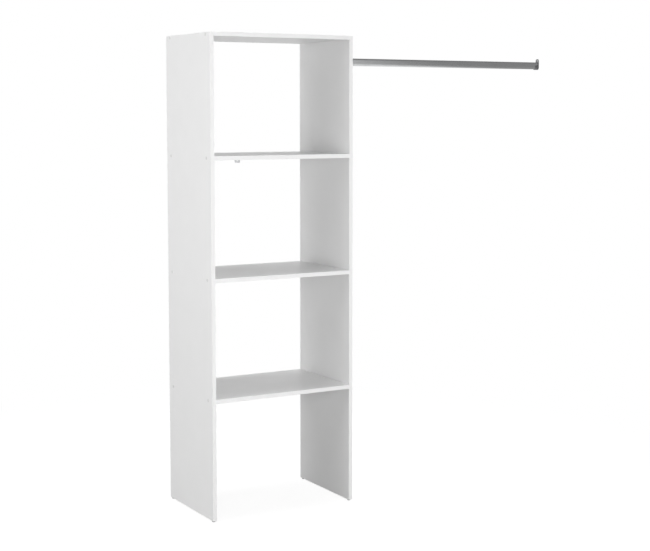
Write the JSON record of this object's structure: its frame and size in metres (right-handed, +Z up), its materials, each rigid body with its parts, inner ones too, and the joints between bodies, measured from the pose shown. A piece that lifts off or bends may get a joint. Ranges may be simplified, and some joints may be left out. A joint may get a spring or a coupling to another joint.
{
  "type": "open wardrobe column with hanging rail",
  "caption": "Open white board column with fixed shelves and no back, and an oval metal hanging rail from its right side to a bracket for a side wall.",
  "frame": {"origin": "centre of the whole footprint, column and rail together, on the floor", "axes": "+Z up, +Y from the open front to the rear, +X from the column along the rail to the side wall"},
  "size_m": [1.6464, 0.39, 1.805],
  "materials": {
    "melamine_board": "particle board faced with satin white melamine",
    "edge_band": "smooth white edge band, a little glossier than the faces",
    "cap_plastic": "moulded pale grey-white cover cap",
    "glide_plastic": "moulded grey plastic",
    "chrome_plate": "polished chrome plate on steel tube and cast brackets",
    "zinc_plate": "bright zinc plate",
    "nail_steel": "drawn steel wire"
  },
  "bodies": {
    "root": {"side_panel_left": "melamine_board", "side_panel_left_edge_band": "edge_band", "side_panel_right": "melamine_board", "side_panel_right_edge_band": "edge_band", "top_panel": "melamine_board", "top_panel_edge_band": "edge_band", "shelf_upper": "melamine_board", "shelf_upper_edge_band": "edge_band", "shelf_middle": "melamine_board", "shelf_middle_edge_band": "edge_band", "shelf_lower": "melamine_board", "shelf_lower_edge_band": "edge_band", "joint_screw_left_top_front": "zinc_plate", "screw_cap_left_top_front": "cap_plastic", "joint_screw_left_top_rear": "zinc_plate", "screw_cap_left_top_rear": "cap_plastic", "joint_screw_left_upper_front": "zinc_plate", "screw_cap_left_upper_front": "cap_plastic", "joint_screw_left_upper_rear": "zinc_plate", "screw_cap_left_upper_rear": "cap_plastic", "joint_screw_left_middle_front": "zinc_plate", "screw_cap_left_middle_front": "cap_plastic", "joint_screw_left_middle_rear": "zinc_plate", "screw_cap_left_middle_rear": "cap_plastic", "joint_screw_left_lower_front": "zinc_plate", "screw_cap_left_lower_front": "cap_plastic", "joint_screw_left_lower_rear": "zinc_plate", "screw_cap_left_lower_rear": "cap_plastic", "joint_screw_right_top_front": "zinc_plate", "screw_cap_right_top_front": "cap_plastic", "joint_screw_right_top_rear": "zinc_plate", "screw_cap_right_top_rear": "cap_plastic", "joint_screw_right_upper_front": "zinc_plate", "screw_cap_right_upper_front": "cap_plastic", "joint_screw_right_upper_rear": "zinc_plate", "screw_cap_right_upper_rear": "cap_plastic", "joint_screw_right_middle_front": "zinc_plate", "screw_cap_right_middle_front": "cap_plastic", "joint_screw_right_middle_rear": "zinc_plate", "screw_cap_right_middle_rear": "cap_plastic", "joint_screw_right_lower_front": "zinc_plate", "screw_cap_right_lower_front": "cap_plastic", "joint_screw_right_lower_rear": "zinc_plate", "screw_cap_right_lower_rear": "cap_plastic", "glide_front_left": "glide_plastic", "glide_nail_front_left": "nail_steel", "glide_rear_left": "glide_plastic", "glide_nail_rear_left": "nail_steel", "glide_front_right": "glide_plastic", "glide_nail_front_right": "nail_steel", "glide_rear_right": "glide_plastic", "glide_nail_rear_right": "nail_steel", "hanging_rail": "chrome_plate", "rail_bracket_column": "chrome_plate", "rail_bracket_wall": "chrome_plate", "bracket_screw_ear": "zinc_plate", "bracket_screw_cradle": "zinc_plate", "wall_angle": "zinc_plate", "wall_angle_screw": "zinc_plate"}
  },
  "joints": []
}
